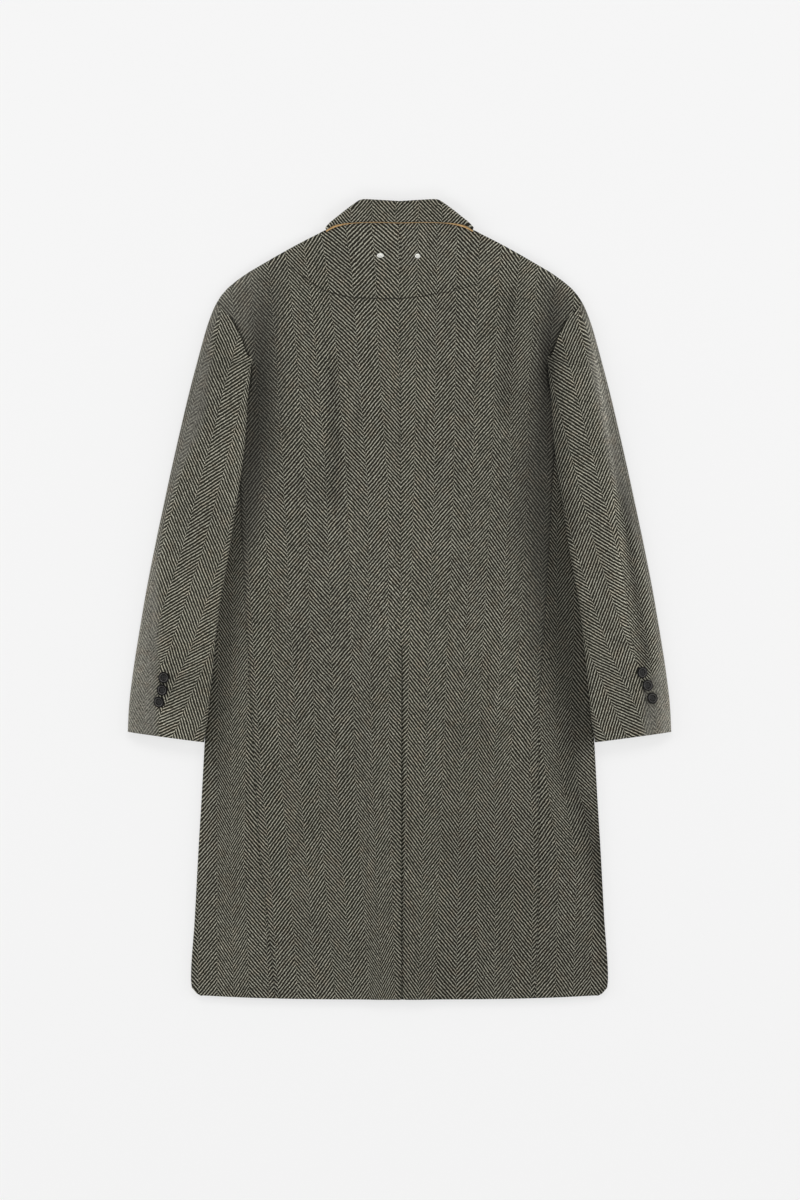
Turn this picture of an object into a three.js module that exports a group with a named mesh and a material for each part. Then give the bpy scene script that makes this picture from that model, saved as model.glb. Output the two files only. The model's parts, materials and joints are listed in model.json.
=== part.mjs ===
// A wool overcoat laid flat on its front, its back up and its sleeves along the sides.
// Millimetres, +Z up, collar towards +Y. The wearer's left is at -X.
// The origin is on the surface it lies on, under the middle of the coat.

import * as THREE from 'three';

// Cloth
const WALL = 3;
const SEAM = 0.3;
const PRESSED = 3.4;
const HALF = WALL / 2;

// Heights of the middle of each layer
const FLOOR = HALF;
const BACK = 8.3;
const TURN = (BACK - FLOOR) / 2;
const SLEEVE_OVER = BACK + PRESSED;
const CENTRE_RISE = 3.5;

// Body
const HEM = -578.5;
const FAN = 283;
const SHOULDER_TIP = 427;
const TIP_X = 262;
const UNDERARM = 252;
const ARMHOLE_BASE = FAN;
const HEM_RISE = { rise: 5.4, at: 277 };
const CENTRE_SEAM = 1.5;
const VENT_TOP = -66;
const VENT_EDGE = 2.7;
const VENT_LAP = 30;
const FRONT_LAP = 22;
const NECK_FRONT = 410;
const NECK_SIDE = 88;
const NECK_CURVE = 0.7;

// Where heights change: each goes from one place over a run
const LAP_EDGE = { at: 24, frontRun: 24, backRun: 36 };
const BACK_NECK = { at: 475, run: 60 };
const COLLAR_UNDER = { x: 185, runX: 45, y: 350, runY: 35 };
const LAP_TOP = { at: 423, run: 45 };
const NECK_END = { at: 60, run: 30 };
const WRAP_TOP = { at: 150, run: UNDERARM - 150 };

// Hard pieces
const CUFF_BUTTON = { radius: 8.3, thick: 3.2, rise: 0.35 };
const FRONT_BUTTON = { radius: 10, thick: 2.4, rise: 0.2 };
const FRONT_BUTTONS = [240, 110, -20];
const RIVET = { radius: 4.6, thick: 2.2, rise: 0.75 };
const DIMPLE = { lift: 2.9, flat: 12, endX: 24, endY: 34 };

const SIDES = [{ name: 'left', sign: -1 }, { name: 'right', sign: 1 }];

// Outer edge of the body, half width at a height
const BODY_EDGE = [
  { y: -578.5, x: 292 },
  { y: -572, x: 299.5 },
  { y: -560, x: 302 },
  { y: -472, x: 296.8 },
  { y: -363, x: 290.9 },
  { y: -207, x: 282 },
  { y: 253, x: 257 },
];

// Seam between each back and the front that wraps round the side to meet it
const SIDE_SEAM = [
  { y: -578.5, left: 179, right: 195 },
  { y: -468, left: 190, right: 200 },
  { y: -363, left: 202, right: 201 },
  { y: -175, left: 213, right: 201 },
  { y: -40, left: 221, right: 209 },
  { y: 86, left: 228, right: 217 },
  { y: 173, left: 231, right: 222 },
  { y: 283, left: 231, right: 230 },
];

// Armhole edge of the body
const ARMHOLE = [
  { y: 253, x: 252 },
  { y: 275, x: 238 },
  { y: 283, x: 231 },
  { y: 289, x: 226 },
  { y: 311, x: 217 },
  { y: 337, x: 215.5 },
  { y: 361, x: 223 },
  { y: 390, x: 234 },
  { y: 408, x: 244 },
  { y: 427, x: 262 },
];

// Neck and shoulder line
const SHOULDER = [
  { x: 0, y: 547 },
  { x: 60, y: 547 },
  { x: 88, y: 540 },
  { x: 100, y: 534 },
  { x: 117, y: 529 },
  { x: 156, y: 508.5 },
  { x: 197, y: 485 },
  { x: 234, y: 462 },
  { x: 248, y: 450 },
  { x: 258, y: 438 },
  { x: 266, y: 425 },
];

// Sleeve: inner edge on the body, outer edge, and the back seam of each sleeve
const SLEEVE_EDGES = [
  { y: -206, inner: 282, outer: 393.4 },
  { y: -175, inner: 277, outer: 392 },
  { y: -117, inner: 271, outer: 386 },
  { y: -59, inner: 265.4, outer: 378.3 },
  { y: -1, inner: 258, outer: 369 },
  { y: 72, inner: 245, outer: 355 },
  { y: 144, inner: 234, outer: 339.8 },
  { y: 202, inner: 225.5, outer: 327.2 },
  { y: 253, inner: 220.6, outer: 315.5 },
  { y: 289, inner: 219, outer: 307 },
  { y: 315, inner: 216.6, outer: 300.4 },
  { y: 337, inner: 215.6, outer: 294.6 },
  { y: 361, inner: 223, outer: 288.1 },
  { y: 390, inner: 234, outer: 280 },
  { y: 408, inner: 244, outer: 273.5 },
  { y: 421, inner: 255.5, outer: 268.5 },
];
const SLEEVE_SEAM = [
  { y: -198, left: 347, right: 366 },
  { y: -100, left: 345, right: 343 },
  { y: -60, left: 355, right: 334 },
  { y: -8, left: 358, right: 327 },
  { y: 57, left: 350, right: 319 },
  { y: 190, left: 319, right: 303 },
  { y: 275, left: 299, right: 292 },
  { y: 345, left: 282, right: 283 },
  { y: 390, left: 269, right: 270 },
  { y: 421, left: 261.5, right: 261.5 },
];

// Collar: outline where it turns over, and its lower edge on the back
const COLLAR = [
  { x: 0, topX: 0, topY: 577.7, edgeX: 0, edgeY: 544.5 },
  { x: 0.35, topX: 30, topY: 578.5, edgeX: 38, edgeY: 545 },
  { x: 0.62, topX: 57, topY: 577.8, edgeX: 72, edgeY: 543.8 },
  { x: 0.72, topX: 68, topY: 571.2, edgeX: 82, edgeY: 543 },
  { x: 0.86, topX: 84, topY: 558.3, edgeX: 93, edgeY: 541.5 },
  { x: 1, topX: 103.4, topY: 542.9, edgeX: 101, edgeY: 538 },
];

const CUFF_BUTTONS = [
  { side: 'left', x: 339, y: -112.5 },
  { side: 'left', x: 341.3, y: -130.4 },
  { side: 'left', x: 346, y: -147.4 },
  { side: 'right', x: 349, y: -105.3 },
  { side: 'right', x: 357, y: -124.2 },
  { side: 'right', x: 364, y: -142.9 },
];

const RIVETS = [{ x: -27.7, y: 497.6 }, { x: 26.2, y: 496.6 }];

const clothLook = { color: 0x5a574d, roughness: 0.95, metalness: 0 };
const looks = {
  cloth: new THREE.MeshStandardMaterial(clothLook),
  sleeve: new THREE.MeshStandardMaterial({ ...clothLook, color: 0x66635a }),
  felt: new THREE.MeshStandardMaterial({ color: 0xb9793f, roughness: 0.9, metalness: 0 }),
  button: new THREE.MeshStandardMaterial({ color: 0x1e1d1c, roughness: 0.4, metalness: 0 }),
  metal: new THREE.MeshStandardMaterial({ color: 0xc9c9c6, roughness: 0.3, metalness: 1 }),
};

const mix = (from, to, part) => from + (to - from) * part;
const clamp = (value) => Math.min(1, Math.max(0, value));
const smooth = (value) => clamp(value) ** 2 * (3 - 2 * clamp(value));
const steps = (count) => Array.from({ length: count + 1 }, (_, index) => index / count);

// Value of a column at a place along a table that is sorted by its key
function read(table, key, place, column) {
  const last = table.length - 1;
  let row = 0;
  while (row < last - 1 && table[row + 1][key] < place) row += 1;
  const [low, high] = [table[row], table[row + 1]];
  const part = clamp((place - low[key]) / (high[key] - low[key]));
  return mix(low[column], high[column], part);
}

// Wall of even thickness about a grid of middle points, where some cells may be absent
function wall(points, thick, cellIs = () => true) {
  const rows = points.length;
  const columns = points[0].length;
  const there = (i, j) => i >= 0 && j >= 0 && i < rows - 1 && j < columns - 1 && cellIs(i, j);

  function normalAt(i, j) {
    const right = there(i, j) || there(i - 1, j) ? 1 : 0;
    const left = there(i, j - 1) || there(i - 1, j - 1) ? 1 : 0;
    const up = there(i, j) || there(i, j - 1) ? 1 : 0;
    const down = there(i - 1, j) || there(i - 1, j - 1) ? 1 : 0;
    const across = points[i][j + right].clone().sub(points[i][j - left]);
    const along = points[i + up][j].clone().sub(points[i - down][j]);
    return across.cross(along).normalize();
  }

  const positions = [];
  const numbers = new Map();
  function vertex(i, j, face) {
    const key = (i * columns + j) * 2 + (face > 0 ? 1 : 0);
    if (!numbers.has(key)) {
      numbers.set(key, positions.length / 3);
      const place = points[i][j].clone().addScaledVector(normalAt(i, j), (face * thick) / 2);
      positions.push(place.x, place.y, place.z);
    }
    return numbers.get(key);
  }

  const faces = [];
  const quad = (a, b, c, d) => faces.push(a, b, c, a, c, d);
  for (let i = 0; i < rows - 1; i += 1) {
    for (let j = 0; j < columns - 1; j += 1) {
      if (!there(i, j)) continue;
      const ring = [[i, j], [i, j + 1], [i + 1, j + 1], [i + 1, j]];
      const gone = [!there(i - 1, j), !there(i, j + 1), !there(i + 1, j), !there(i, j - 1)];
      const outer = ring.map(([r, c]) => vertex(r, c, 1));
      const inner = ring.map(([r, c]) => vertex(r, c, -1));
      const span = (m, n) => {
        const [p, q] = [points[ring[m][0]][ring[m][1]], points[ring[n][0]][ring[n][1]]];
        return p.distanceTo(q);
      };
      const turn = span(0, 2) <= span(1, 3) ? [0, 1, 2, 3] : [1, 2, 3, 0];
      quad(...turn.map((k) => outer[k]));
      quad(...[turn[0], turn[3], turn[2], turn[1]].map((k) => inner[k]));
      gone.forEach((open, k) => {
        const next = (k + 1) % 4;
        if (open) quad(outer[next], outer[k], inner[k], inner[next]);
      });
    }
  }
  return outward(positions, faces);
}

// Closed geometry with its faces turned outwards
function outward(positions, faces) {
  const at = (n) => new THREE.Vector3().fromArray(positions, n * 3);
  let volume = 0;
  for (let n = 0; n < faces.length; n += 3) {
    volume += at(faces[n]).dot(at(faces[n + 1]).cross(at(faces[n + 2])));
  }
  const turned = faces.slice();
  if (volume < 0) {
    for (let n = 0; n < turned.length; n += 3) {
      [turned[n], turned[n + 1]] = [turned[n + 1], turned[n]];
    }
  }
  const geometry = new THREE.BufferGeometry();
  geometry.setAttribute('position', new THREE.Float32BufferAttribute(positions, 3));
  geometry.setIndex(turned);
  geometry.computeVertexNormals();
  return geometry;
}

const coat = new THREE.Group();

function add(name, geometry, look) {
  const mesh = new THREE.Mesh(geometry, looks[look]);
  mesh.name = name;
  coat.add(mesh);
  return mesh;
}

// Middle height of the back: it rises over the lapped fronts and is flat at the neck
function backHeight(x, y) {
  const across = 1 - clamp((Math.abs(x) - LAP_EDGE.at) / LAP_EDGE.backRun);
  return BACK + CENTRE_RISE * across * (1 - smooth((y - BACK_NECK.at) / BACK_NECK.run));
}

// Rise of the fronts over the front buttons
function dimple(x, y) {
  const across = clamp((DIMPLE.endX - Math.abs(x)) / (DIMPLE.endX - DIMPLE.flat));
  const along = FRONT_BUTTONS.map((button) => (
    clamp((DIMPLE.endY - Math.abs(y - button)) / (DIMPLE.endY - DIMPLE.flat))));
  return DIMPLE.lift * across * Math.max(...along);
}

// Middle height of a front: over the collar ends, and the right one over the left one
function frontHeight(x, y, sign) {
  const { x: endX, runX, y: startY, runY } = COLLAR_UNDER;
  const collar = smooth((endX - x) / runX) * smooth((y - startY) / runY);
  const overLap = 1 - clamp((x - LAP_EDGE.at) / LAP_EDGE.frontRun);
  const lapped = overLap * (1 - smooth((y - LAP_TOP.at) / LAP_TOP.run));
  return FLOOR + PRESSED * (collar + (sign > 0 ? lapped : 0)) + dimple(x, y);
}

// Rows that are level up to the chest and fan out to the shoulder line above it
const fanned = (part, top) => FAN + part * (top - FAN);
const fanPart = (edgeY) => (edgeY - FAN) / (SHOULDER_TIP - FAN);
const hemRise = (x) => HEM_RISE.rise * (x / HEM_RISE.at) ** 3;

// The last rows of the back turn down to the shoulder seam, and the front ends flat below them
const SHOULDER_SLOPE = 1.15;
const HALF_WAY = 1 - Math.SQRT1_2;
const SHOULDER_TURN = [
  { inset: SHOULDER_SLOPE * (TURN + HALF), part: 0 },
  { inset: SHOULDER_SLOPE * (HALF_WAY * TURN + HALF), part: HALF_WAY },
  { inset: SHOULDER_SLOPE * HALF, part: 1 },
];
const SHOULDER_END = [{ inset: SEAM, part: 0 }];
const SHOULDER_CLEAR = 1.5;

// Rows of a body piece: its levels, and the last rows at the shoulder
function bodyRows(levels, ends) {
  const level = levels.map((y) => ({ y, inset: 0, part: 0, last: false }));
  return level.concat(ends.map((end) => ({ y: SHOULDER_TIP, ...end, last: true })));
}

// The neck edge isn't turned down, so its last row ends a seam's width short of it
const neckShare = (x) => smooth((x - NECK_END.at) / NECK_END.run);

function bodyY(row, x, topX) {
  const hem = clamp((FAN - row.y) / (FAN - HEM)) * hemRise(x);
  const top = read(SHOULDER, 'x', topX, 'y');
  const inset = row.part === 1 ? mix(SEAM / 2, row.inset, neckShare(topX)) : row.inset;
  const high = row.last ? top - inset : fanned(fanPart(row.y), top);
  return row.y < FAN ? row.y + hem : high;
}

// Back: two halves from the centre seam to the side seams, with a vent lapped left over right
const BACK_LEVELS = [
  -578.5, -572, -560, -480, -380, -280, -180, -100, VENT_TOP, -50, 40, 130, 210,
  ARMHOLE_BASE, 311, 337, 361, 390, 408,
];
const BACK_INNER = [0, LAP_EDGE.at / 2, LAP_EDGE.at, LAP_EDGE.at + LAP_EDGE.backRun];
const SPREAD_STEPS = 5;

function backHalf(side) {
  const rows = bodyRows(BACK_LEVELS, SHOULDER_TURN);
  const right = side.sign > 0;
  const points = rows.map((row) => {
    const seam = read(SIDE_SEAM, 'y', row.y, side.name);
    const edge = (row.y > ARMHOLE_BASE ? read(ARMHOLE, 'y', row.y, 'x') : seam) - SEAM / 2;
    const spaced = (end) => (
      BACK_INNER.concat(steps(SPREAD_STEPS).slice(1).map((part) => mix(BACK_INNER.at(-1), end, part))));
    const tops = spaced(TIP_X);
    const vent = row.y <= VENT_TOP;
    const meet = vent ? VENT_EDGE : CENTRE_SEAM;
    const columns = spaced(edge).map((x, index) => {
      const y = bodyY(row, x, tops[index]);
      const height = backHeight(x, y);
      const end = frontHeight(x, y, side.sign) + HALF + SHOULDER_CLEAR;
      const turned = mix(height, end, row.part * neckShare(tops[index]));
      const under = right && vent && x === 0 ? PRESSED : 0;
      const base = x === 0 ? meet + (side.sign * SEAM) / 2 : side.sign * x;
      return new THREE.Vector3(base, y, turned - under);
    });
    if (!right) return columns;
    const lap = [-VENT_LAP, -VENT_LAP / 2].map((x) => (
      new THREE.Vector3(x, bodyY(row, 0, 0), backHeight(x, row.y) - PRESSED)));
    return lap.concat(columns);
  });
  const ventRow = BACK_LEVELS.indexOf(VENT_TOP);
  return wall(points, WALL, (i, j) => !right || j > 1 || i < ventRow);
}

// Front: from the centre edge across the floor, round the side and on to the side seam
const FRONT_LEVELS = [
  -578.5, -572, -560, -480, -380, -280, -180, -100, -54, -32, -8, 14, 76, 98, 122, 144,
  206, 228, 252, 274, ARMHOLE_BASE, 311, 337, 361, 375, 390, 408,
];
const FRONT_INNER = [
  -FRONT_LAP, -DIMPLE.flat, DIMPLE.flat, LAP_EDGE.at, LAP_EDGE.at + LAP_EDGE.frontRun,
];
const WRAP_STEPS = 3;
const TURN_STEPS = 4;

function front(side) {
  const rows = bodyRows(FRONT_LEVELS, SHOULDER_END);
  const neckTop = read(SHOULDER, 'x', NECK_SIDE, 'y');
  const points = rows.map((row) => {
    const above = row.y > UNDERARM;
    const edge = read(BODY_EDGE, 'y', row.y, 'x') - HALF - TURN;
    const outer = above ? read(ARMHOLE, 'y', row.y, 'x') - SEAM / 2 : edge;
    const innerY = row.last ? neckTop : fanned(fanPart(row.y), neckTop);
    const neck = clamp((innerY - NECK_FRONT) / (neckTop - NECK_FRONT));
    const inner = mix(-FRONT_LAP, NECK_SIDE, neck ** NECK_CURVE);
    const spaced = (from, to) => {
      const lap = FRONT_INNER.at(-1);
      const bases = FRONT_INNER.concat(steps(SPREAD_STEPS).slice(1).map((part) => mix(lap, to, part)));
      return bases.map((base) => from + ((to - from) * (base + FRONT_LAP)) / (to + FRONT_LAP));
    };
    const tops = spaced(NECK_SIDE, TIP_X);
    const lapLast = FRONT_INNER.length - 1;
    const flat = spaced(inner, outer).map((x, index) => {
      const level = mix(NECK_SIDE, tops[index], clamp((index - lapLast) / SPREAD_STEPS));
      const steep = row.last ? 1 : smooth(2 * fanPart(row.y) - 1);
      const y = bodyY(row, x, mix(level, tops[index], steep));
      return new THREE.Vector3(side.sign * x, y, frontHeight(x, y, side.sign));
    });
    const round = steps(TURN_STEPS).slice(1).map((part) => {
      const angle = Math.PI * (part - 0.5);
      const x = edge + TURN * Math.cos(angle);
      return new THREE.Vector3(side.sign * x, bodyY(row, x, x), FLOOR + TURN + TURN * Math.sin(angle));
    });
    const rise = (ARMHOLE_BASE - UNDERARM) * smooth((row.y - WRAP_TOP.at) / WRAP_TOP.run);
    const seam = read(SIDE_SEAM, 'y', row.y + rise, side.name) + SEAM / 2;
    const wrap = steps(WRAP_STEPS).slice(1).map((part) => {
      const x = mix(edge, seam, part);
      return new THREE.Vector3(side.sign * x, bodyY(row, x, x) + rise * part, BACK);
    });
    return flat.concat(round, wrap);
  });
  const armRow = FRONT_LEVELS.indexOf(UNDERARM);
  const flatCells = FRONT_INNER.length + SPREAD_STEPS - 1;
  return wall(points, WALL, (i, j) => i < armRow || j < flatCells);
}

// Sleeve rows, from the cuff to the top of the armhole
const SLEEVE_LEVELS = [
  -206, -160, -117, -59, -1, 72, 144, 202, 253, 289, 315, 326, 337, 348, 361, 390, 408, 421,
];
const CUFF_SLANT = { rise: 14.5, at: -20, run: 150 };
const FOLD_TOP = 337;
const FRONT_SEAM = 0.4;
const SLEEVE_FALL = { fromBody: 5, fromInner: 8 };
const SLEEVE_RISE = { none: 361, full: 315 };
const SLEEVE_STEPS = { top: 3, under: 4, below: 3 };
const EDGE_CLEAR = 1;

// Places across a sleeve at a height, with its rise from the armhole on to the body
function sleeveAt(y, side) {
  const inner = read(SLEEVE_EDGES, 'y', y, 'inner');
  const outer = read(SLEEVE_EDGES, 'y', y, 'outer');
  const seam = read(SLEEVE_SEAM, 'y', y, side);
  const rise = smooth((SLEEVE_RISE.none - y) / (SLEEVE_RISE.none - SLEEVE_RISE.full));
  const beside = read(BODY_EDGE, 'y', y, 'x') + SLEEVE_FALL.fromBody;
  const support = Math.max(beside, inner + SLEEVE_FALL.fromInner);
  return { inner, outer, seam, rise, support };
}

// Middle height of the under layer at a place across the sleeve
function underHeight(place, x) {
  const down = smooth((x - place.support) / (place.outer - place.support));
  return FLOOR + (SLEEVE_OVER - FLOOR) * place.rise * (1 - down);
}

// The cuff slants: its outer end is higher than its inner end
function sleeveY(y, place, x) {
  const across = clamp((x - place.inner) / (place.outer - place.inner));
  return y + CUFF_SLANT.rise * smooth((CUFF_SLANT.at - y) / CUFF_SLANT.run) * across;
}

// Middle points of a sleeve layer between two places
function layer(y, place, side, from, to, count, lift) {
  return steps(count).map((part) => {
    const x = mix(from, to, part);
    return new THREE.Vector3(side.sign * x, sleeveY(y, place, x), underHeight(place, x) + lift);
  });
}

// Half round turn between the layers, about a centre line, without its two ends
function halfTurn(y, place, side, centre, way, radius) {
  return steps(TURN_STEPS).slice(1, -1).map((part) => {
    const angle = Math.PI * (0.5 - part);
    const x = centre + way * radius * Math.cos(angle);
    const height = underHeight(place, centre) + radius + radius * Math.sin(angle);
    return new THREE.Vector3(side.sign * x, sleeveY(y, place, x), height);
  });
}

const SLEEVE_GAP = 2 * TURN;

// Top sleeve: from the back seam out round the arm and under to the front seam
function topSleeve(side) {
  const points = SLEEVE_LEVELS.map((y) => {
    const place = sleeveAt(y, side.name);
    const radius = Math.min(TURN, (place.outer - place.seam) / 2);
    const centre = place.outer - HALF - radius;
    const hidden = mix(place.inner, place.outer, FRONT_SEAM) + SEAM / 2;
    const start = Math.min(place.seam + SEAM / 2, centre - EDGE_CLEAR);
    const end = Math.min(hidden, centre - EDGE_CLEAR);
    return [
      ...layer(y, place, side, start, centre, SLEEVE_STEPS.top, SLEEVE_GAP),
      ...halfTurn(y, place, side, centre, 1, TURN),
      ...layer(y, place, side, centre, end, SLEEVE_STEPS.below, 0),
    ];
  });
  return wall(points, WALL);
}

// Under sleeve: from the back seam in over the body, and under to the front seam
function underSleeve(side) {
  const points = SLEEVE_LEVELS.map((y) => {
    const place = sleeveAt(y, side.name);
    const folded = y <= FOLD_TOP;
    const centre = place.inner + (folded ? HALF + TURN : SEAM / 2);
    const hidden = mix(place.inner, place.outer, FRONT_SEAM) - SEAM / 2;
    const limit = place.outer - HALF - TURN - EDGE_CLEAR - SEAM;
    const start = Math.min(place.seam - SEAM / 2, limit);
    return [
      ...layer(y, place, side, start, centre, SLEEVE_STEPS.under, SLEEVE_GAP),
      ...halfTurn(y, place, side, centre, -1, TURN),
      ...layer(y, place, side, centre, Math.min(hidden, limit), SLEEVE_STEPS.below, 0),
    ];
  });
  const foldRow = SLEEVE_LEVELS.indexOf(FOLD_TOP);
  const isFold = (j) => j >= SLEEVE_STEPS.under && j < SLEEVE_STEPS.under + TURN_STEPS;
  return wall(points, WALL, (i, j) => i < foldRow || !isFold(j));
}

// Collar: the fall on the back, turned over at the top into the stand that meets the neck
const FALL_EDGE = BACK + HALF + 2 + HALF;
const ROLL = { radius: 3, top: BACK + 6 };
const COLLAR_SIDE = { radius: 6.4, share: 0.6 };
const COLLAR_MIDDLE = 0.62;
const FOOT_SPREAD = 1.06;
const COLLAR_PARTS = [-1, -0.86, -0.72, -COLLAR_MIDDLE, -0.35, 0, 0.35, COLLAR_MIDDLE, 0.72, 0.86, 1];

const FALL_PARTS = [1, 0.5];

function collarAt(part) {
  const size = Math.abs(part);
  const sign = part < 0 ? -1 : 1;
  const value = (column) => read(COLLAR, 'x', size, column);
  return {
    top: new THREE.Vector3(sign * value('topX'), value('topY'), 0),
    edge: new THREE.Vector3(sign * value('edgeX'), value('edgeY'), 0),
    middle: size <= COLLAR_MIDDLE,
  };
}

function collar() {
  const points = COLLAR_PARTS.map((part) => {
    const { top, edge, middle } = collarAt(part);
    const down = edge.clone().sub(top);
    const length = down.length();
    down.normalize();
    const radius = middle ? ROLL.radius : Math.min(COLLAR_SIDE.radius, length * COLLAR_SIDE.share);
    const at = (inset, height) => top.clone().addScaledVector(down, inset).setZ(height);
    const fall = FALL_PARTS.map((share) => (
      at(mix(HALF + radius, length, share), mix(ROLL.top, FALL_EDGE, share))));
    const roll = steps(TURN_STEPS).map((share) => {
      const angle = Math.PI * (0.5 - share);
      const height = ROLL.top - radius + radius * Math.sin(angle);
      return at(HALF + radius - radius * Math.cos(angle), height);
    });
    const foot = new THREE.Vector3(top.x * FOOT_SPREAD, SHOULDER[0].y + SEAM, BACK);
    const stand = [0.5, 1].map((share) => at(HALF + radius, BACK).lerp(foot, share));
    return fall.concat(roll, stand);
  });
  const isMiddle = (i) => (
    COLLAR_PARTS[i] >= -COLLAR_MIDDLE && COLLAR_PARTS[i + 1] <= COLLAR_MIDDLE);
  const isSeen = (j) => j < FALL_PARTS.length + TURN_STEPS / 2;
  return wall(points, WALL, (i, j) => isSeen(j) || isMiddle(i));
}

// Felt of the undercollar: a strip that stands out a little below the collar's edge
const FELT = { thick: 1.2, proud: 2, depth: 12, taper: 0.92 };

function undercollar() {
  const height = BACK + HALF + SEAM + FELT.thick / 2;
  const points = COLLAR_PARTS.map((part) => {
    const { edge } = collarAt(part);
    const depth = FELT.depth * (1 - FELT.taper * Math.abs(part) ** 3);
    return [-FELT.proud, depth].map((up) => (
      new THREE.Vector3(edge.x, edge.y + up, height)));
  });
  return wall(points, FELT.thick);
}

// Collar end: turns under at the neck side and lies below the front, as far as its point
const COLLAR_END = [
  { part: 0, rollX: 60, rollY: 577, edgeX: 100, edgeY: 538 },
  { part: 0.3, rollX: 46, rollY: 540, edgeX: 100, edgeY: 500 },
  { part: 0.65, rollX: 26, rollY: 500, edgeX: 88, edgeY: 442 },
  { part: 1, rollX: 6, rollY: 468, edgeX: 62, edgeY: 392 },
];

const COLLAR_END_STEPS = 3;

function collarEnd(side) {
  const points = COLLAR_END.map((row) => steps(COLLAR_END_STEPS).map((share) => {
    const x = side.sign * mix(row.rollX, row.edgeX, share);
    return new THREE.Vector3(x, mix(row.rollY, row.edgeY, share), FLOOR);
  }));
  return wall(points, WALL);
}

// Profiles by share of the radius and of the thickness, from the axis round to the axis
const BUTTON_PROFILE = [
  { radius: 0, height: 0 },
  { radius: 0.8, height: 0 },
  { radius: 1, height: 0.35 },
  { radius: 0.94, height: 1 },
  { radius: 0.7, height: 1 },
  { radius: 0.55, height: 0.7 },
  { radius: 0, height: 0.7 },
];
const RIVET_PROFILE = [
  { radius: 0, height: 0 },
  { radius: 1, height: 0 },
  { radius: 0.9, height: 0.5 },
  { radius: 0.5, height: 0.9 },
  { radius: 0, height: 1 },
];
const ROUND_SIDES = 12;

// Round piece about +Z
function turned(profile, size) {
  const outline = profile.map((row) => (
    new THREE.Vector2(row.radius * size.radius, row.height * size.thick)));
  const geometry = new THREE.LatheGeometry(outline, ROUND_SIDES);
  geometry.rotateX(Math.PI / 2);
  return geometry;
}

// A button lies on the slope of the sleeve under it
function cuffButton(row, index) {
  const side = SIDES.find((each) => each.name === row.side);
  const place = sleeveAt(row.y, side.name);
  const top = (x) => underHeight(place, x) + SLEEVE_GAP + HALF;
  const { radius } = CUFF_BUTTON;
  const slope = Math.atan2(top(row.x + radius) - top(row.x - radius), 2 * radius);
  const mesh = add(`cuff_button_${side.name}_${index}`, turned(BUTTON_PROFILE, CUFF_BUTTON), 'button');
  mesh.position.set(side.sign * row.x, row.y, top(row.x) + CUFF_BUTTON.rise);
  mesh.rotation.y = -side.sign * slope;
}

SIDES.forEach((side) => {
  add(`back_${side.name}`, backHalf(side), 'cloth');
  add(`front_${side.name}`, front(side), 'cloth');
  add(`top_sleeve_${side.name}`, topSleeve(side), 'sleeve');
  add(`under_sleeve_${side.name}`, underSleeve(side), 'sleeve');
  add(`collar_end_${side.name}`, collarEnd(side), 'cloth');
});
add('collar', collar(), 'cloth');
add('undercollar', undercollar(), 'felt');
SIDES.forEach((side) => {
  CUFF_BUTTONS.filter((row) => row.side === side.name).forEach((row, index) => {
    cuffButton(row, index + 1);
  });
});
FRONT_BUTTONS.forEach((y, index) => {
  const mesh = add(`front_button_${index + 1}`, turned(BUTTON_PROFILE, FRONT_BUTTON), 'button');
  mesh.rotation.x = Math.PI;
  mesh.position.set(0, y, FRONT_BUTTON.rise + FRONT_BUTTON.thick);
});
RIVETS.forEach((row, index) => {
  const mesh = add(`rivet_${index + 1}`, turned(RIVET_PROFILE, RIVET), 'metal');
  mesh.position.set(row.x, row.y, backHeight(row.x, row.y) + HALF + RIVET.rise);
});

export default coat;
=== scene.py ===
# Looks of a herringbone wool overcoat that lies flat on its front, its back up.
import json
import math

import bmesh
import bpy
import numpy as np
from mathutils import Euler, Matrix, Vector

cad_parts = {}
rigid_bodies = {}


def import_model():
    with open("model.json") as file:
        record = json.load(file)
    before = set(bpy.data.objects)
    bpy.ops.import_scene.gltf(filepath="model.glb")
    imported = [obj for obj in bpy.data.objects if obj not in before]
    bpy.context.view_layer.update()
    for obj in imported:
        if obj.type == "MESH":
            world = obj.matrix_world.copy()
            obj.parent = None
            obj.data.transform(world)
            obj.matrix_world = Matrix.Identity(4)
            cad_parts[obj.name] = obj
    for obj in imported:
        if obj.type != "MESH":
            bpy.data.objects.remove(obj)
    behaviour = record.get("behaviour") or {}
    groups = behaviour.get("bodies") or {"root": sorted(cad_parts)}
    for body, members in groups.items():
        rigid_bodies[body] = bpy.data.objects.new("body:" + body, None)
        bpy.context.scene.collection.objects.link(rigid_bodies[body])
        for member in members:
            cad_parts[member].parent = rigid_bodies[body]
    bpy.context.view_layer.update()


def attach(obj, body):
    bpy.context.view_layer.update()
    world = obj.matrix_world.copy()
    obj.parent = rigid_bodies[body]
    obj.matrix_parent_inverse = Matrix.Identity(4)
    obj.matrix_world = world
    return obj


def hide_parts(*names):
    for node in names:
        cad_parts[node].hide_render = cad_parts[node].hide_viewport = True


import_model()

# All sizes are in millimetres: x is across, y towards the collar, z up
MM = 0.001
WALL = 2.4
HALF = WALL / 2
SEAM = 0.3
SEAM_DEPTH = 0.9
SEAM_WIDTH = 2.2
# Heights of the lower layer, of the body's upper layer and of a layer above that
FLOOR = HALF
BACK = 8.3
PRESSED = 3.4
TURN = 3.4
OVER = BACK + PRESSED
# Places on the body: the rows fan out to the shoulder above FAN
HEM = -578.5
FAN = 283.0
TIP_X, TIP_Y = 262.0, 427.0
UNDERARM = 252.0
CENTRE_SEAM = 1.5
VENT_TOP = -66.0
VENT_EDGE = 2.7
VENT_LAP = 30.0
FRONT_LAP = 22.0
NECK_FRONT = 410.0
NECK_SIDE = 88.0
NECK_CURVE = 0.7
FRONT_BUTTONS = (240.0, 110.0, -20.0)
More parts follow.
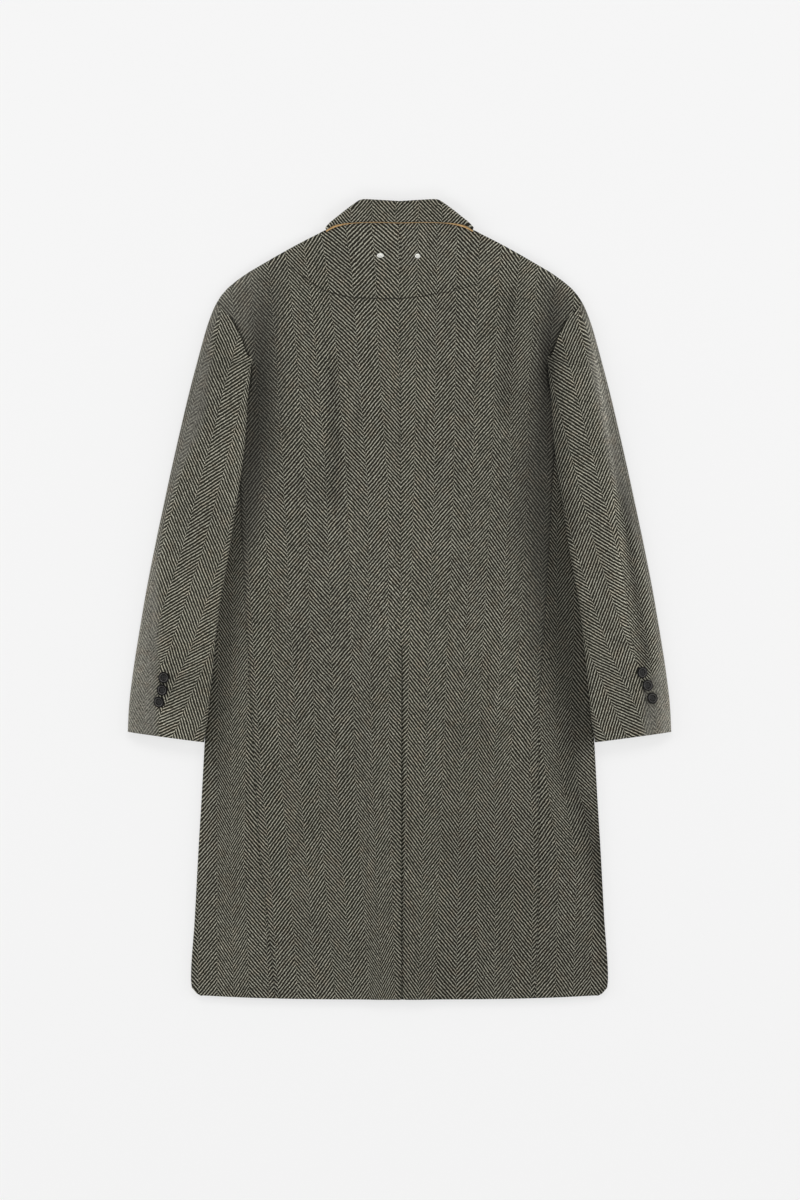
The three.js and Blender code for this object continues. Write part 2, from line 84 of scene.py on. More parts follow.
# How far the body rises, and how far it falls in a valley or trough of depth 1
BODY_RISE = 6.0
CENTRE_RISE = 3.5
VALLEY_FALL = 6.0
TROUGH_FALL = 11.0
LEFT, RIGHT = -1, 1
SIDES = {"left": LEFT, "right": RIGHT}

# Outlines: half widths at heights
BODY_EDGE = {
    "y": [-578.5, -573, -566, -555, -472, -363, -290, -207, 253],
    "x": [289, 298.5, 301.5, 302, 296.8, 290.9, 286.5, 282, 257],
}
SIDE_SEAM = {
    "y": [-578.5, -468, -363, -175, -40, 86, 173, 283],
    "left": [179, 190, 202, 213, 221, 228, 231, 231],
    "right": [195, 200, 201, 201, 209, 217, 222, 230],
}
ARMHOLE = {
    "y": [253, 275, 283, 289, 311, 337, 361, 390, 408, 427],
    "x": [252, 238, 231, 226, 217, 215.5, 223, 234, 244, 262],
}
SHOULDER = {
    "x": [0, 60, 88, 100, 109, 117, 134, 156, 177, 197, 217, 234, 248, 258, 266],
    "y": [547, 547, 540, 537, 534, 529.5, 521, 509.5, 498, 486.3, 474.7, 463, 451.5, 440, 427],
}
SLEEVE = {
    "y": [-206, -175, -117, -59, -1, 72, 144, 202, 253, 289, 315, 337, 361, 390, 408, 421, 431],
    "inner": [282, 277, 271, 265.4, 258, 245, 234, 225.5, 220.6, 219, 215.8, 214.6, 223, 234, 244,
              254, 262],
    "outer": [393.4, 392, 386, 378.3, 369, 355, 339.8, 327.2, 315.5, 307, 300.4, 294.6, 288.1,
              280, 274, 269, 264],
}
SLEEVE_SEAM = {
    "y": [-198, -100, -60, -8, 57, 190, 275, 345, 390, 421, 431],
    "left": [347, 345, 355, 358, 350, 319, 299, 282, 269, 261.5, 263],
    "right": [366, 343, 334, 327, 319, 303, 292, 283, 270, 261.5, 263],
}

# Peaks of the herringbone columns: half widths at heights, the outermost first
BACK_PEAKS = {
    "left": {
        "y": [-571, -387, -233, -39, 173, 359, 470, 536],
        "peaks": [[147, 93, 43, 7], [159, 109, 55, 12], [173, 120, 65, 15], [185, 129, 70, 16],
                  [198, 136, 76, 17], [209, 149, 91, 31], [215, 160, 104, 34], [225, 170, 115, 40]],
    },
    "right": {
        "y": [-571, -379, -233, -63, 173, 302, 470, 536],
        "peaks": [[162, 112, 51.5, 3.6], [166, 111.5, 58, 8], [160, 113, 63, 11],
                  [173, 120.5, 69.5, 15], [185, 133, 78.5, 21], [185, 137, 80, 23],
                  [199, 144, 82, 26], [208, 150, 83, 27]],
    },
}
WRAP_PEAKS = {
    "left": {"y": [-570, -379, -246, -146, 100], "peaks": [[263, 217], [263, 225], [263, 223],
                                                             [262, 220], [262, 218]]},
    "right": {"y": [-565, -410, -353, -262, -205, -155, -72], "peaks": [
        [276, 226], [282, 229], [277, 226], [257, 213], [250, 205], [247, 202], [252, 204]]},
}
COLLAR_PEAKS = [-102, -39, 27.6, 96]

# Twill of the cloth: width of a column, run of a line along it and lines across it
REPEAT = 56.0
TWILL_PERIOD = 6.16
TWILL_LINES = 5.5
COLLAR_TWILL = 5.3
COLLAR_LINES = 0.8


def mix(a, b, t):
    return a + (b - a) * t


def clamp(t):
    return min(1.0, max(0.0, t))


def smooth(t):
    t = clamp(t)
    return t * t * (3 - 2 * t)


def bump(value, centre, width):
    """A soft ridge of height 1 about a place."""
    return math.exp(-((value - centre) / width) ** 2)


def read(table, column, place):
    """Value of a column of a table at a height, on a smooth curve through its rows."""
    xs, ys = table["y"], table[column]
    if place <= xs[0]:
        return ys[0]
    if place >= xs[-1]:
        return ys[-1]
    i = int(np.searchsorted(xs, place, side="right")) - 1
    run = xs[i + 1] - xs[i]
    t = (place - xs[i]) / run

    def slope(k):
        if k in (0, len(xs) - 1):
            return (ys[i + 1] - ys[i]) / run
        before = (ys[k] - ys[k - 1]) / (xs[k] - xs[k - 1])
        after = (ys[k + 1] - ys[k]) / (xs[k + 1] - xs[k])
        return 2 * before * after / (before + after) if before * after > 0 else 0.0

    a, b = 2 * t**3 - 3 * t**2 + 1, t**3 - 2 * t**2 + t
    c, d = -2 * t**3 + 3 * t**2, t**3 - t**2
    return a * ys[i] + b * run * slope(i) + c * ys[i + 1] + d * run * slope(i + 1)


def shoulder_y(x):
    return float(np.interp(x, SHOULDER["x"], SHOULDER["y"]))


def column_at(peaks, y, half_width, centre=True):
    """Herringbone coordinate: whole numbers at peaks, counted outwards."""
    rows = np.array(peaks["peaks"], float)
    line = [np.interp(y, peaks["y"], rows[:, k]) for k in range(rows.shape[1])][::-1]
    if half_width <= line[0]:
        inward = max(REPEAT, 2 * (line[0] - CENTRE_SEAM)) if centre else REPEAT
        return (half_width - line[0]) / inward
    for k in range(len(line) - 1):
        if half_width <= line[k + 1]:
            return k + (half_width - line[k]) / (line[k + 1] - line[k])
    return len(line) - 1 + (half_width - line[-1]) / REPEAT


# Meshes
class Cloth:
    """Rows of places on a cloth, each with its weave coordinates and its traits:
    shade, which is light and shade painted into the cloth's colour, haze and, on the back,
    the distance from the stitched line."""

    def __init__(self):
        self.rows, self.gaps = [], []

    def start_row(self, gap=None, when=True):
        """Begins a row; gap says which cells before the next row are left open."""
        self.rows.append([])
        self.gaps.append(gap if when else None)

    def put(self, place, weave, traits):
        self.rows[-1].append((*place, *weave, *traits))


def link(item):
    bpy.context.scene.collection.objects.link(item)
    return item


def add_piece(name, verts, faces):
    """Smooth closed piece with its faces turned outwards."""
    mesh = bpy.data.meshes.new(name)
    mesh.from_pydata([tuple(c * MM for c in v) for v in verts], [], faces)
    work = bmesh.new()
    work.from_mesh(mesh)
    if work.calc_volume(signed=True) < 0:
        bmesh.ops.reverse_faces(work, faces=work.faces[:])
    work.to_mesh(mesh)
    work.free()
    mesh.polygons.foreach_set("use_smooth", [True] * len(mesh.polygons))
    mesh.update()
    return link(bpy.data.objects.new(name, mesh))


def cloth_mesh(name, cloth, thick=WALL):
    """Closed thin wall about the rows of a cloth."""
    data = np.array(cloth.rows, float)
    points, weave, traits = data[..., :3], data[..., 3:5], data[..., 5:]
    rows, cols = points.shape[:2]
    there = np.ones((rows - 1, cols - 1), bool)
    for r, gap in enumerate(cloth.gaps[:-1]):
        if gap:
            there[r, gap] = False
    padded = np.zeros((rows + 1, cols + 1), bool)
    padded[1:-1, 1:-1] = there
    used_right = padded[1:, 1:] | padded[:-1, 1:]
    used_left = padded[1:, :-1] | padded[:-1, :-1]
    used_up = padded[1:, 1:] | padded[1:, :-1]
    used_down = padded[:-1, 1:] | padded[:-1, :-1]
    index_r, index_c = np.mgrid[0:rows, 0:cols]
    right = points[index_r, np.minimum(cols - 1, index_c + used_right)]
    left = points[index_r, np.maximum(0, index_c - used_left)]
    up = points[np.minimum(rows - 1, index_r + used_up), index_c]
    down = points[np.maximum(0, index_r - used_down), index_c]
    normal = np.cross(right - left, up - down)
    length = np.linalg.norm(normal, axis=2, keepdims=True)
    normal /= np.maximum(length, 1e-9)
    outer = points + normal * (thick / 2)
    inner = points - normal * (thick / 2)
    used = used_right | used_left
    count = int(used.sum())
    number = -np.ones((rows, cols), int)
    number[used] = np.arange(count)
    verts = np.concatenate([outer[used], inner[used]])
    faces = []
    for r, c in zip(*np.nonzero(there)):
        a, b = number[r, c], number[r, c + 1]
        d, e = number[r + 1, c + 1], number[r + 1, c]
        faces.append((a, b, d, e))
        faces.append((a + count, e + count, d + count, b + count))
        gone = (not padded[r, c + 1], not padded[r + 1, c + 2],
                not padded[r + 2, c + 1], not padded[r + 1, c])
        ring = (a, b, d, e)
        for k in range(4):
            if gone[k]:
                p, q = ring[k], ring[(k + 1) % 4]
                faces.append((q, p, p + count, q + count))
    piece = add_piece(name, verts, faces)
    mesh = piece.data
    uv = np.concatenate([weave[used], weave[used]])
    tone = np.concatenate([traits[used], traits[used]])
    layer = mesh.uv_layers.new(name="cloth")
    loops = np.array([loop.vertex_index for loop in mesh.loops])
    layer.data.foreach_set("uv", uv[loops].ravel().astype(np.float32))
    for k, trait in enumerate(("shade", "haze", "line")[:tone.shape[1]]):
        attribute = mesh.attributes.new(trait, "FLOAT", "POINT")
        attribute.data.foreach_set("value", tone[:, k].astype(np.float32))
    return piece


# Heights
def body_fullness(x, y, side):
    """Soft rise of the back: low beside the sleeves, at the hem and at the neck."""
    half = abs(x)
    start = read(SLEEVE, "inner", y) if y > -206 else mix(282, 296, clamp((-206 - y) / 300))
    inside = smooth((start - 4 - half) / 85)
    ends = smooth((y - HEM + 40) / 160) * smooth((540 - y) / 110)
    fade = mix(1.0, 0.75, smooth((-120 - y) / 250))
    way = side * half
    rise = BODY_RISE * inside * ends * fade
    rise -= VALLEY_FALL * valley(x, y, side) + TROUGH_FALL * trough(way, y)
    rise += 1.2 * bump(way, -14, 30) * bump(y, 0, 70)
    return max(rise, -0.4)


def back_height(x, y, side):
    across = 1 - smooth((abs(x) - 24) / 36)
    return BACK + CENTRE_RISE * across * (1 - smooth((y - 475) / 60)) + body_fullness(x, y, side)


def dimple(x, y):
    """Soft hollows in the hidden front that take its buttons."""
    across = clamp((24 - abs(x)) / 12)
    return 2.9 * across * max(clamp((34 - abs(y - b)) / 22) for b in FRONT_BUTTONS)


def front_height(x, y, side):
    """Lower layer: over the collar's ends, and on the right over the left front's lap."""
    collar = smooth((185 - x) / 45) * smooth((y - 350) / 35)
    lapped = 0.0
    if side == RIGHT:
        lapped = (1 - clamp((x - 24) / 24)) * (1 - smooth((y - 423) / 45))
    return FLOOR + PRESSED * (collar + lapped) + dimple(x, y)


# The body falls into a valley beside each sleeve: its middle, width and depth at heights;
# the depth also darkens the cloth's colour there as painted shade
VALLEY = {
    LEFT: {
        "y": [-520, -400, -300, -204, -69, 47, 144, 221, 289, 376, 449, 500],
        "x": [262, 258, 258, 268, 252, 238, 219, 208, 201, 198, 189, 180],
        "wide": [20, 22, 24, 22, 21, 20, 26, 28, 27, 24, 21, 20],
        "deep": [0, 0.08, 0.10, 0.34, 0.42, 0.45, 0.53, 0.59, 0.60, 0.52, 0.25, 0],
    },
    RIGHT: {
        "y": [-500, -420, -334, -247, -194, -69, 47, 173, 270, 357, 434, 480],
        "x": [302, 297, 278, 244, 256, 237, 221, 210, 215, 218, 222, 224],
        "wide": [14, 19, 18, 21, 32, 46, 44, 39, 29, 22, 19, 18],
        "deep": [0.12, 0.52, 0.36, 0.34, 0.56, 0.58, 0.57, 0.54, 0.57, 0.62, 0.38, 0],
    },
}
# Long soft troughs of the back: place and lean of the middle, ends, width and depth; the
# depth also darkens the cloth's colour there as painted shade
TROUGHS = [
    {"x": -97, "lean": 0.02, "low": 110, "high": 370, "wide": 11, "deep": 0.24},
    {"x": 162, "lean": -0.04, "low": 235, "high": 480, "wide": 13, "deep": 0.30},
    {"x": 214, "lean": 0.0, "low": 275, "high": 400, "wide": 9, "deep": 0.42},
    {"x": 110, "lean": 0.05, "low": -330, "high": -60, "wide": 26, "deep": 0.07},
    {"x": -120, "lean": -0.06, "low": -420, "high": -120, "wide": 24, "deep": 0.06},
]


def valley(x, y, side):
    """How deep in the valley a place is: 0 outside it, up to its depth in its middle."""
    table = VALLEY[side]
    return read(table, "deep", y) * bump(abs(x), read(table, "x", y), read(table, "wide", y))


def trough(x, y):
    """The same for the troughs, at a place with its sign."""
    total = 0.0
    for row in TROUGHS:
        ends = smooth((y - row["low"]) / 50) * smooth((row["high"] - y) / 50)
        middle = row["x"] + row["lean"] * (row["high"] - y)
        total += row["deep"] * ends * bump(x, middle, row["wide"])
    return total


def body_shade(x, y, side):
    """Painted light and shade in the cloth's colour. Darker in the valleys and troughs and low on
    the right, lighter in the middle and above the vent, and lighter again near the collar and
    at the shoulder's edge."""
    half, way = abs(x), side * abs(x)
    tone = (1 - valley(x, y, side)) * (1 - trough(way, y))
    tone *= 0.985 + 0.05 * bump(way, -10, 110) * smooth((y + 120) / 200)
    tone *= 1 + 0.10 * bump(way, -14, 30) * bump(y, 0, 60)
    tone *= 1 - 0.10 * smooth((-120 - y) / 240) * smooth((way + 120) / 260)
    tone *= 1 + 0.05 * smooth((y - 430) / 40)
    tone *= 1 - 0.05 * bump(way, 0, 120) * smooth((-260 - y) / 120)
    edge = 0.16 * smooth((half - 100) / 30) + 0.14 * smooth((half - 210) / 30)
    return tone * (1 + edge * bump(y, shoulder_y(half), 14))


HAZE_DARKENS = 0.2


def body_haze(x, y, side):
    """How far the nap blurs the weave: in the valleys and on the left shoulder."""
    haze = 0.5 * valley(x, y, side)
    if side == LEFT:
        haze += 0.3 * smooth((abs(x) - 190) / 30) * smooth((y - 370) / 30)
    return min(haze, 0.4)


# Body
HEM_EDGES = (1.0, 2.5)


def level_rows(step):
    """Heights of the level rows, with two more at the hem for a crisp edge."""
    count = int((FAN - HEM) / step)
    return sorted([*np.linspace(HEM, FAN, count + 1), *(HEM + edge for edge in HEM_EDGES)])


def hem_rise(x, y):
    """The rows curve up towards the side: most at the hem, not at all at the fan."""
    return clamp((FAN - y) / (FAN - HEM)) * 5.4 * (x / 277) ** 3


def body_row(y=FAN, fan=0.0, inset=0.0, turn=0.0, last=False):
    """One row: level at a height, or a share of the fan, or turned down at the shoulder."""
    return {"y": y, "fan": fan, "inset": inset, "turn": turn, "last": last}


def body_rows(step=9.0, fan_steps=72, turn=True):
    rows = [body_row(y) for y in level_rows(step)]
    rows += [body_row(fan=k / fan_steps) for k in range(1, fan_steps - 2)]
    if not turn:
        return rows + [body_row(fan=1.0, inset=SEAM, last=True)]
    for k in range(7):
        angle = math.pi / 2 * k / 6
        inset = 1.15 * (HALF + TURN * (1 - math.sin(angle)))
        rows.append(body_row(fan=1.0, inset=inset, turn=1 - math.cos(angle), last=True))
    return rows


def past_neck(top_x):
    """0 at the neck, where the shoulder's edge doesn't turn down, and 1 past it."""
    return smooth((top_x - 60) / 30)


def row_y(row, x, top_x):
    """Height of a row at a place, which runs up to the shoulder's edge at top_x."""
    top = shoulder_y(top_x)
    if row["last"]:
        tight = SEAM / 2 + (1 - row["turn"]) * 4.0
        return top - mix(tight, row["inset"], past_neck(top_x))
    if row["fan"] > 0:
        return FAN + row["fan"] * (top - 8.0 - FAN)
    return row["y"] + hem_rise(x, row["y"])


def edge_y(row):
    """Height at which a row meets the armhole or the side."""
    return FAN + row["fan"] * (TIP_Y - FAN) if row["fan"] > 0 else row["y"]


# The stitched line below the collar, with its place across and its height
YOKE = {"x": [-176, -164, -148, -130, -113, -104, -86, -68, -36, 1, 32, 49, 68, 83, 112, 146, 166],
        "y": [498, 484, 473, 459, 449, 444, 439.5, 436, 434.5, 433.7, 437, 441, 443.7, 446, 456,
              475, 488]}
YOKE_REACH = 160
YOKE_GROOVE = {"deep": 1.0, "wide": 3.4}
LINE_ZERO = 50.0


def yoke_line(x, y):
    """Distance from the stitched line, counted from LINE_ZERO."""
    return LINE_ZERO + y - float(np.interp(x, YOKE["x"], YOKE["y"]))


def back_piece(name, side):
    columns = 72
    cloth = Cloth()
    for row in body_rows():
        outer_y = edge_y(row)
        fanned = row["fan"] > 0
        # The lap is there below the vent's top alone
        cloth.start_row(slice(2), side == RIGHT and (fanned or row["y"] >= VENT_TOP - 4))
        edge = read(ARMHOLE, "x", outer_y) if fanned else read(SIDE_SEAM, name, outer_y)
        edge -= SEAM / 2
        vent = not fanned and row["y"] <= VENT_TOP
        meet = VENT_EDGE if vent else CENTRE_SEAM
        start = side * (meet + side * SEAM / 2)
        for x in ((-VENT_LAP, -VENT_LAP / 2) if side == RIGHT else ()):
            y = row_y(row, 0, 0)
            cloth.put((x, y, back_height(0, y, side) - PRESSED),
                      (column_at(BACK_PEAKS[name], y, x), y / TWILL_PERIOD),
                      (0.8, 0.0, yoke_line(x, y)))
        for k in range(columns + 1):
            share = (k / columns) ** 1.25
            x = mix(start, edge, share)
            top_x = mix(start, TIP_X, share)
            y = row_y(row, x, top_x)
            low = front_height(x, y, side) + HALF + 1.5
            z = mix(back_height(x, y, side), low, row["turn"] * past_neck(top_x))
            # The centre seam, the side seam, the armhole and the stitched line lie a little sunk
            at_edge = SEAM_DEPTH - 0.65 * smooth((y - 345) / 30)
            sunk = SEAM_DEPTH * bump(x, start, SEAM_WIDTH) + at_edge * bump(x, edge, SEAM_WIDTH)
            line_at = yoke_line(side * x, y)
            if abs(x) < YOKE_REACH and row["turn"] == 0:
                sunk += YOKE_GROOVE["deep"] * bump(line_at, LINE_ZERO, YOKE_GROOVE["wide"])
            # The right back goes under the left one beside the vent
            if side == RIGHT and vent and k < 6:
                z -= PRESSED * (1 - smooth(k / 6))
            haze = body_haze(x, y, side)
            # Painted light and shade, darker still as painted shade in the sunk seams
            tone = body_shade(x, y, side) * (1 - 0.06 * sunk) * (1 - HAZE_DARKENS * haze)
            cloth.put((side * x, y, z - sunk),
                      (column_at(BACK_PEAKS[name], y, x), y / TWILL_PERIOD), (tone, haze, line_at))
    return cloth_mesh(f"cloth_back_{name}", cloth)


def front_piece(name, side):
    flat_count, turn_count, wrap_count = 40, 10, 26
    neck_top = shoulder_y(NECK_SIDE)
    cloth = Cloth()

    def put(x, y, z, shade=1.0):
        column = column_at(WRAP_PEAKS[name], y, abs(x), False)
        cloth.put((side * x, y, z), (column, y / TWILL_PERIOD), (shade, 0.0))

    for row in body_rows(step=10.0, fan_steps=44, turn=False):
        # Above the underarm only the lower layer is the front's
        cloth.start_row(slice(flat_count, None), row["fan"] > 0 or row["y"] >= UNDERARM - 4)
        outer_y = edge_y(row)
        rise = (FAN - UNDERARM) * smooth((outer_y - 150) / (UNDERARM - 150))
        above = row["fan"] > 0 or row["y"] > UNDERARM
        edge = read(BODY_EDGE, "x", outer_y) - HALF - TURN
        outer = read(ARMHOLE, "x", outer_y) - SEAM / 2 if above else edge
        inner_y = FAN + row["fan"] * (neck_top - FAN) if row["fan"] > 0 else row["y"]
        inner_y = neck_top if row["last"] else inner_y
        neck = clamp((inner_y - NECK_FRONT) / (neck_top - NECK_FRONT))
        inner = mix(-FRONT_LAP, NECK_SIDE, neck**NECK_CURVE)
        steep = 1.0 if row["last"] else smooth(2 * row["fan"] - 1)
        for k in range(flat_count + 1):
            share = k / flat_count
            x = mix(inner, outer, share)
            tip = mix(NECK_SIDE, TIP_X, share)
            level = mix(NECK_SIDE, tip, clamp((share - 0.25) / 0.75))
            y = row_y(row, abs(x), mix(level, tip, steep))
            put(x, y, front_height(x, y, side))
        for k in range(1, turn_count + 1):
            angle = math.pi * (k / turn_count - 0.5)
            x = edge + TURN * math.cos(angle)
            y = row_y(row, x, x)
            # Painted shade on the turned edge
            put(x, y, FLOOR + TURN * (1 + math.sin(angle)), 0.95 * body_shade(x, y, side))
        seam = read(SIDE_SEAM, name, outer_y + rise) + SEAM / 2
        for k in range(1, wrap_count + 1):
            share = k / wrap_count
            x = mix(edge, seam, share)
            y = row_y(row, x, x) + rise * smooth(share * 2.2)
            sunk = SEAM_DEPTH * bump(x, seam, SEAM_WIDTH)
            # Painted light and shade, darker still as painted shade in the sunk side seam
            put(x, y, BACK + body_fullness(x, y, side) * smooth(share * 2.5) - sunk,
                body_shade(x, y, side) * (1 - 0.12 * sunk))
    return cloth_mesh(f"cloth_front_{name}", cloth)


# Sleeves
SLEEVE_TURN = 4.6
# The under sleeve's columns lean: where their middle one runs, how steep and how wide they are
GRAIN = {"y": [-206, -70, 72, 250, 400], "x": [328, 270, 223, 176, 139]}
GRAIN_LEAN = math.radians(20)
GRAIN_REPEAT = 60.0
TOP_REPEAT = 46.0
# Soft breaks across the arm: depth, height, slope about a place, width and how far out they reach
BREAKS = [
    {"deep": 1.6, "slope": 0.35, "about": 300, "y": 148, "wide": 15, "reach": 0.75},
    {"deep": 1.3, "slope": -0.3, "about": 300, "y": 40, "wide": 17, "reach": 0.7},
    {"deep": 1.2, "slope": 0.2, "about": 320, "y": -70, "wide": 15, "reach": 0.8},
]


def sleeve_place(y, name):
    """Edges and seam of a sleeve at a height; rise is 1 where it lies over the body, support
    is where it leaves the body, and joined is 1 where it is sewn into the armhole."""
    inner = read(SLEEVE, "inner", y)
    return {
        "inner": inner, "outer": read(SLEEVE, "outer", y), "seam": read(SLEEVE_SEAM, name, y),
        "rise": smooth((361 - y) / 46),
        "support": max(read(BODY_EDGE, "x", y) + 5, inner + 8),
        "joined": smooth((y - 337) / 14),
    }


def arm_share(place, x):
    """Share of the way from the sleeve's inner edge to its outer one."""
    return clamp((x - place["inner"]) / (place["outer"] - place["inner"]))


def past_support(place, x):
    return smooth((x - place["support"]) / (place["outer"] - place["support"]))


def under_height(place, x):
    return FLOOR + (OVER - FLOOR) * place["rise"] * (1 - past_support(place, x))


def top_height(place, x, y):
    """The upper layer stands off the lower one: full in the arm's middle, tight at its edges."""
    share = arm_share(place, x)
    full = math.sin(math.pi * clamp(0.04 + 0.92 * share**0.85)) ** 0.7
    cap = 1 - 0.75 * place["joined"]
    loft = 2 * SLEEVE_TURN + (5.0 + 5.5 * past_support(place, x)) * full * cap
    loft += 1.3 * bump(x, place["seam"] - 4, 9) * smooth((430 - y) / 60)
    for row in BREAKS:
        along = y + row["slope"] * (x - row["about"])
        loft -= row["deep"] * bump(along, row["y"], row["wide"]) * smooth(
            (row["reach"] - share) / 0.4) * cap
    loft -= 3.0 * smooth((-60 - y) / 70) * full
    return under_height(place, x) + loft


def sleeve_y(y, place, x):
    """The cuff's edge climbs towards the outer side."""
    return y + 14.5 * smooth((-20 - y) / 150) * arm_share(place, x)


def sleeve_levels():
    """Heights of the rows: close at the cuff's edge and at the cap."""
    return [float(y) for y in np.concatenate([
        [-206.0, -205.0, -203.5], np.linspace(-200, 330, 76), np.linspace(335, 431, 30)])]


def sleeve_grain(x, y, top, place):
    """Weave coordinates: the under sleeve's columns lean, the top sleeve's follow its edge."""
    if top:
        return (x - place["outer"]) / TOP_REPEAT, y / TWILL_PERIOD
    axis = float(np.interp(y, GRAIN["y"], GRAIN["x"]))
    along = y * math.cos(GRAIN_LEAN) - x * math.sin(GRAIN_LEAN)
    return (x - axis) / GRAIN_REPEAT, along / TWILL_PERIOD


# How far in from the outer edge the nap blurs the weave of the arms
NAP = {
    LEFT: {"y": [-200, -117, -8, 28, 100, 170, 260, 330, 380],
           "wide": [46, 40, 27, 18, 9, 16, 34, 27, 14]},
    RIGHT: {"y": [-200, -140, -100, 60, 130, 190, 276, 330, 380],
            "wide": [44, 40, 12, 10, 22, 30, 27, 24, 12]},
}
# The painted highlight along the ridge down the right arm
RIDGE = {"y": [20, 60, 111, 189, 276, 318, 355, 390, 420],
         "x": [328, 322, 316, 306.7, 293.6, 287, 281, 274, 268],
         "bright": [0, 0.16, 0.24, 0.42, 0.74, 0.78, 0.60, 0.45, 0]}
# Painted shade at the arm's inner edge, its width there, and the painted change of light on
# the cuff and at its outer edge
ARM_PAINTED_LIGHT_AND_SHADE = {
    LEFT: {"deep": 0.0, "wide": 7, "cuff": 0.20, "cuff_edge": 0.0},
    RIGHT: {"deep": 0.44, "wide": 20, "cuff": -0.04, "cuff_edge": 0.42},
}


def sleeve_shade(place, x, y, side):
    """Painted light and shade of the arm in the cloth's colour: dark at its inner edge, light
    along the seam, the outer edge and cuff.
    """
    arm, inner, outer, seam = ARM_PAINTED_LIGHT_AND_SHADE[side], place["inner"], place["outer"], place["seam"]
    high = smooth((y - 60) / 60) if side == RIGHT else 1.0
    edge = bump(x, inner, mix(8, arm["wide"], high)) * smooth((385 - y) / 40)
    low = smooth((120 - y) / 120)
    tone = 1.12 * (1 - mix(0.2, arm["deep"], high) * edge)
    tone *= 1 + 0.12 * bump(x, seam - 5, 8)
    tone *= 1 + (0.02 + 0.12 * low) * smooth((x - seam) / 30)
    tone *= 1 + (0.16 + 0.06 * low) * bump(x, outer, 9)
    tone *= 1 + arm["cuff"] * bump(x, 322, 26) * smooth((-130 - y) / 50)
    tone *= 1 + arm["cuff_edge"] * bump(x, 384, 16) * smooth((-50 - y) / 60)
    if side == RIGHT:
        return tone * right_arm_shade(inner, x, y)
    tone *= 1 - 0.10 * bump(x, outer - 26, 22) * smooth((y - 90) / 60)
    tone *= 1 + 0.06 * bump(x, inner + 12, 16) * smooth((y - 120) / 60)
    tone *= 1 + 0.12 * bump(x, 357, 8) * smooth((80 - y) / 40) * smooth((y + 80) / 40)
    tone *= 1 + 0.10 * smooth((40 - y) / 80) * smooth((x - seam) / 12)
    return tone * (1 + 0.16 * bump(x, outer, 9) * bump(y, 40, 70))


def right_arm_shade(inner, x, y):
    """Painted highlights on the ridge and a stripe of the right arm, and painted shade in its fold
    and its armpit.
    """
    ridge = read(RIDGE, "x", y)
    tone = 1 + read(RIDGE, "bright", y) * (bump(x, ridge, 3.6) + 0.3 * bump(x, ridge + 3, 15))
    stripe = bump(x, 318 + 0.1 * (24 - y), 8) * smooth((90 - y) / 40) * smooth((y + 60) / 40)
    fold = bump(x, 323 + 0.143 * (144 - y), 9) * smooth((190 - y) / 60) * smooth((y + 140) / 60)
    tone *= (1 + 0.14 * stripe) * (1 - 0.40 * fold)
    tone *= 1 - 0.07 * smooth((20 - y) / 80)
    return tone * (1 - 0.42 * bump(x, inner, 10) * bump(y, 335, 30))


def sleeve_piece(kind, name, side):
    """The top sleeve runs from the seam round the outer edge, the under one round the inner."""
    top = kind == "top"
    way = 1 if top else -1
    flat, turn, below = (34, 12, 14) if top else (40, 12, 14)
    cloth = Cloth()

    def put(x, z, cloth_x=None):
        haze = 0.6 * smooth((x - outer + read(NAP[side], "wide", y) + 4) / 14)
        # Painted light and shade of the arm in the cloth's colour
        tone = sleeve_shade(place, x, y, side) * (1 - HAZE_DARKENS * haze)
        grain = sleeve_grain(x if cloth_x is None else cloth_x, y, top, place)
        cloth.put((side * x, sleeve_y(y, place, x), z), grain, (tone, haze))

    for y in sleeve_levels():
        # In the armhole the under sleeve is joined to the body, with no turn of its own
        cloth.start_row(slice(flat, flat + turn), not top and y >= 350)
        place = sleeve_place(y, name)
        inner, outer, joined = place["inner"], place["outer"], place["joined"]
        # The cap's tip is lower and its edge tighter
        tip = smooth((y - 392) / 39)
        radius = min(SLEEVE_TURN * (1 - 0.6 * tip), (outer - inner) / 2 - HALF - 0.6)
        radius = max(radius, 0.4)
        outer_end = outer - HALF - radius
        inner_end = mix(inner + HALF + radius, inner + SEAM / 2, joined)
        seam = min(max(place["seam"], inner_end + 1.0), outer_end - 1.0)
        begin = seam + way * SEAM / 2
        finish = outer_end if top else inner_end
        bottom = under_height(place, outer_end)
        for k in range(flat + 1):
            x = mix(begin, finish, k / flat)
            near_edge = clamp(1 - (outer_end - x) / 14)
            side_fall = 6.0 * (1 - joined) * (1 - math.sqrt(1 - near_edge**2))
            z = top_height(place, x, y) - 0.8 * bump(x, seam, 2.0)
            z = mix(z, BACK - 0.2, 0.0 if top else joined * smooth(k / flat))
            z = mix(z, BACK - 2.6, tip)
            last_z = max(z - side_fall, bottom + 2 * radius)
            put(x, last_z)
        low_z = under_height(place, finish)
        for k in range(1, turn):
            angle = math.pi * (0.5 - k / turn)
            x = finish + way * radius * math.cos(angle)
            put(x, (last_z + low_z) / 2 + (last_z - low_z) / 2 * math.sin(angle),
                x + way * 0.5 * k)
        # The two parts meet again on the hidden side
        stop = mix(inner, outer, 0.4) + way * SEAM / 2
        stop = min(stop, outer_end - 1.0 - (0 if top else SEAM))
        for k in range(below + 1):
            x = mix(finish, stop, k / below)
            put(x, under_height(place, x))
    return cloth_mesh(f"cloth_{kind}_sleeve_{name}", cloth)


